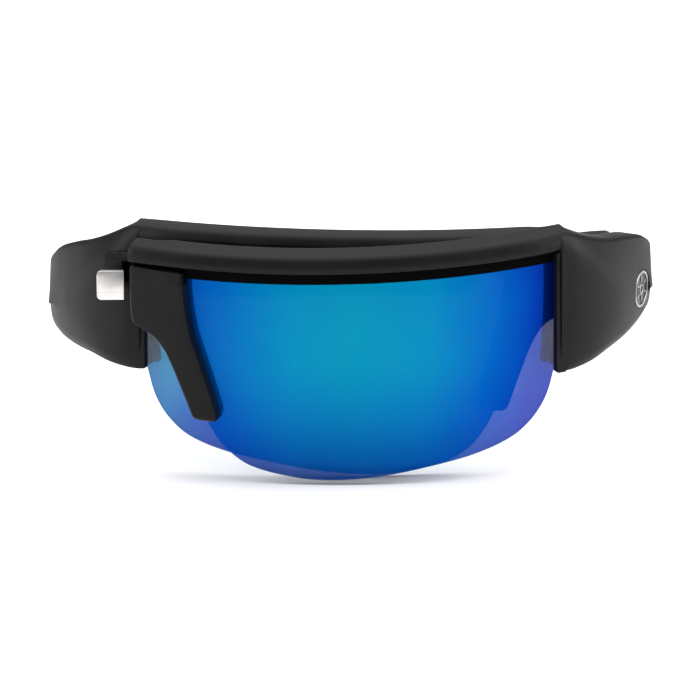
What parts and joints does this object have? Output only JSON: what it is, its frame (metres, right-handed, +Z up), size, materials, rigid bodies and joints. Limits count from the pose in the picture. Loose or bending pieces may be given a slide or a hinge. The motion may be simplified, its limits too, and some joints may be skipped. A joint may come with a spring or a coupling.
{
  "type": "wraparound sport sunglasses",
  "caption": "Nesting wraparound sunglasses: two lens halves slide on a curved rail and overlap, with temples that fold behind them.",
  "frame": {"origin": "centre of the bounding box at its lowest level, halves nested and temples folded", "axes": "+X towards the wearer's left, +Y backwards towards the face, +Z up"},
  "size_m": [0.1054, 0.053, 0.0448],
  "materials": {
    "frame_black": "satin black moulded nylon",
    "mirror_lens": "blue mirror coating on grey polycarbonate",
    "soft_rubber": "soft matt rubber",
    "steel": "satin",
    "bright_metal": "brushed bright"
  },
  "bodies": {
    "right_half": {"right_frame": "frame_black", "right_lens": "mirror_lens", "right_nose_arm": "frame_black", "right_nose_pad": "soft_rubber", "right_hinge_block": "steel", "right_hinge_pin": "steel", "slide_rail": "steel"},
    "slide_carriage": {"slide_shoe": "frame_black", "link_arm": "frame_black", "link_bar": "bright_metal"},
    "left_half": {"left_frame": "frame_black", "left_lens": "mirror_lens", "left_nose_arm": "frame_black", "left_nose_pad": "soft_rubber", "left_hinge_block": "steel", "left_hinge_pin": "steel", "left_badge": "bright_metal"},
    "right_temple": {"right_temple_arm": "frame_black", "right_temple_sleeve": "soft_rubber", "right_temple_knuckle": "steel", "right_temple_screw": "steel"},
    "left_temple": {"left_temple_arm": "frame_black", "left_temple_sleeve": "soft_rubber", "left_temple_knuckle": "steel", "left_temple_screw": "steel"}
  },
  "joints": [
    {"name": "half_slide", "type": "hinge", "parent": "right_half", "child": "slide_carriage", "pos_m": [0, 0.0617, 0.03224], "axis": [0, 0.0872, 0.9962], "range_deg": [0, 55]},
    {"name": "half_close", "type": "hinge", "parent": "slide_carriage", "child": "left_half", "pos_m": [0, -0.01582, 0.01755], "axis": [-1, 0, 0], "range_deg": [0, 10]},
    {"name": "right_temple_hinge", "type": "hinge", "parent": "right_half", "child": "right_temple", "pos_m": [-0.0456, 0.0189, 0.02605], "axis": [0, 0.0872, 0.9962], "range_deg": [0, 112]},
    {"name": "left_temple_hinge", "type": "hinge", "parent": "left_half", "child": "left_temple", "pos_m": [0.0456, 0.00932, 0.03129], "axis": [0, 0.0872, -0.9962], "range_deg": [0, 112]}
  ]
}
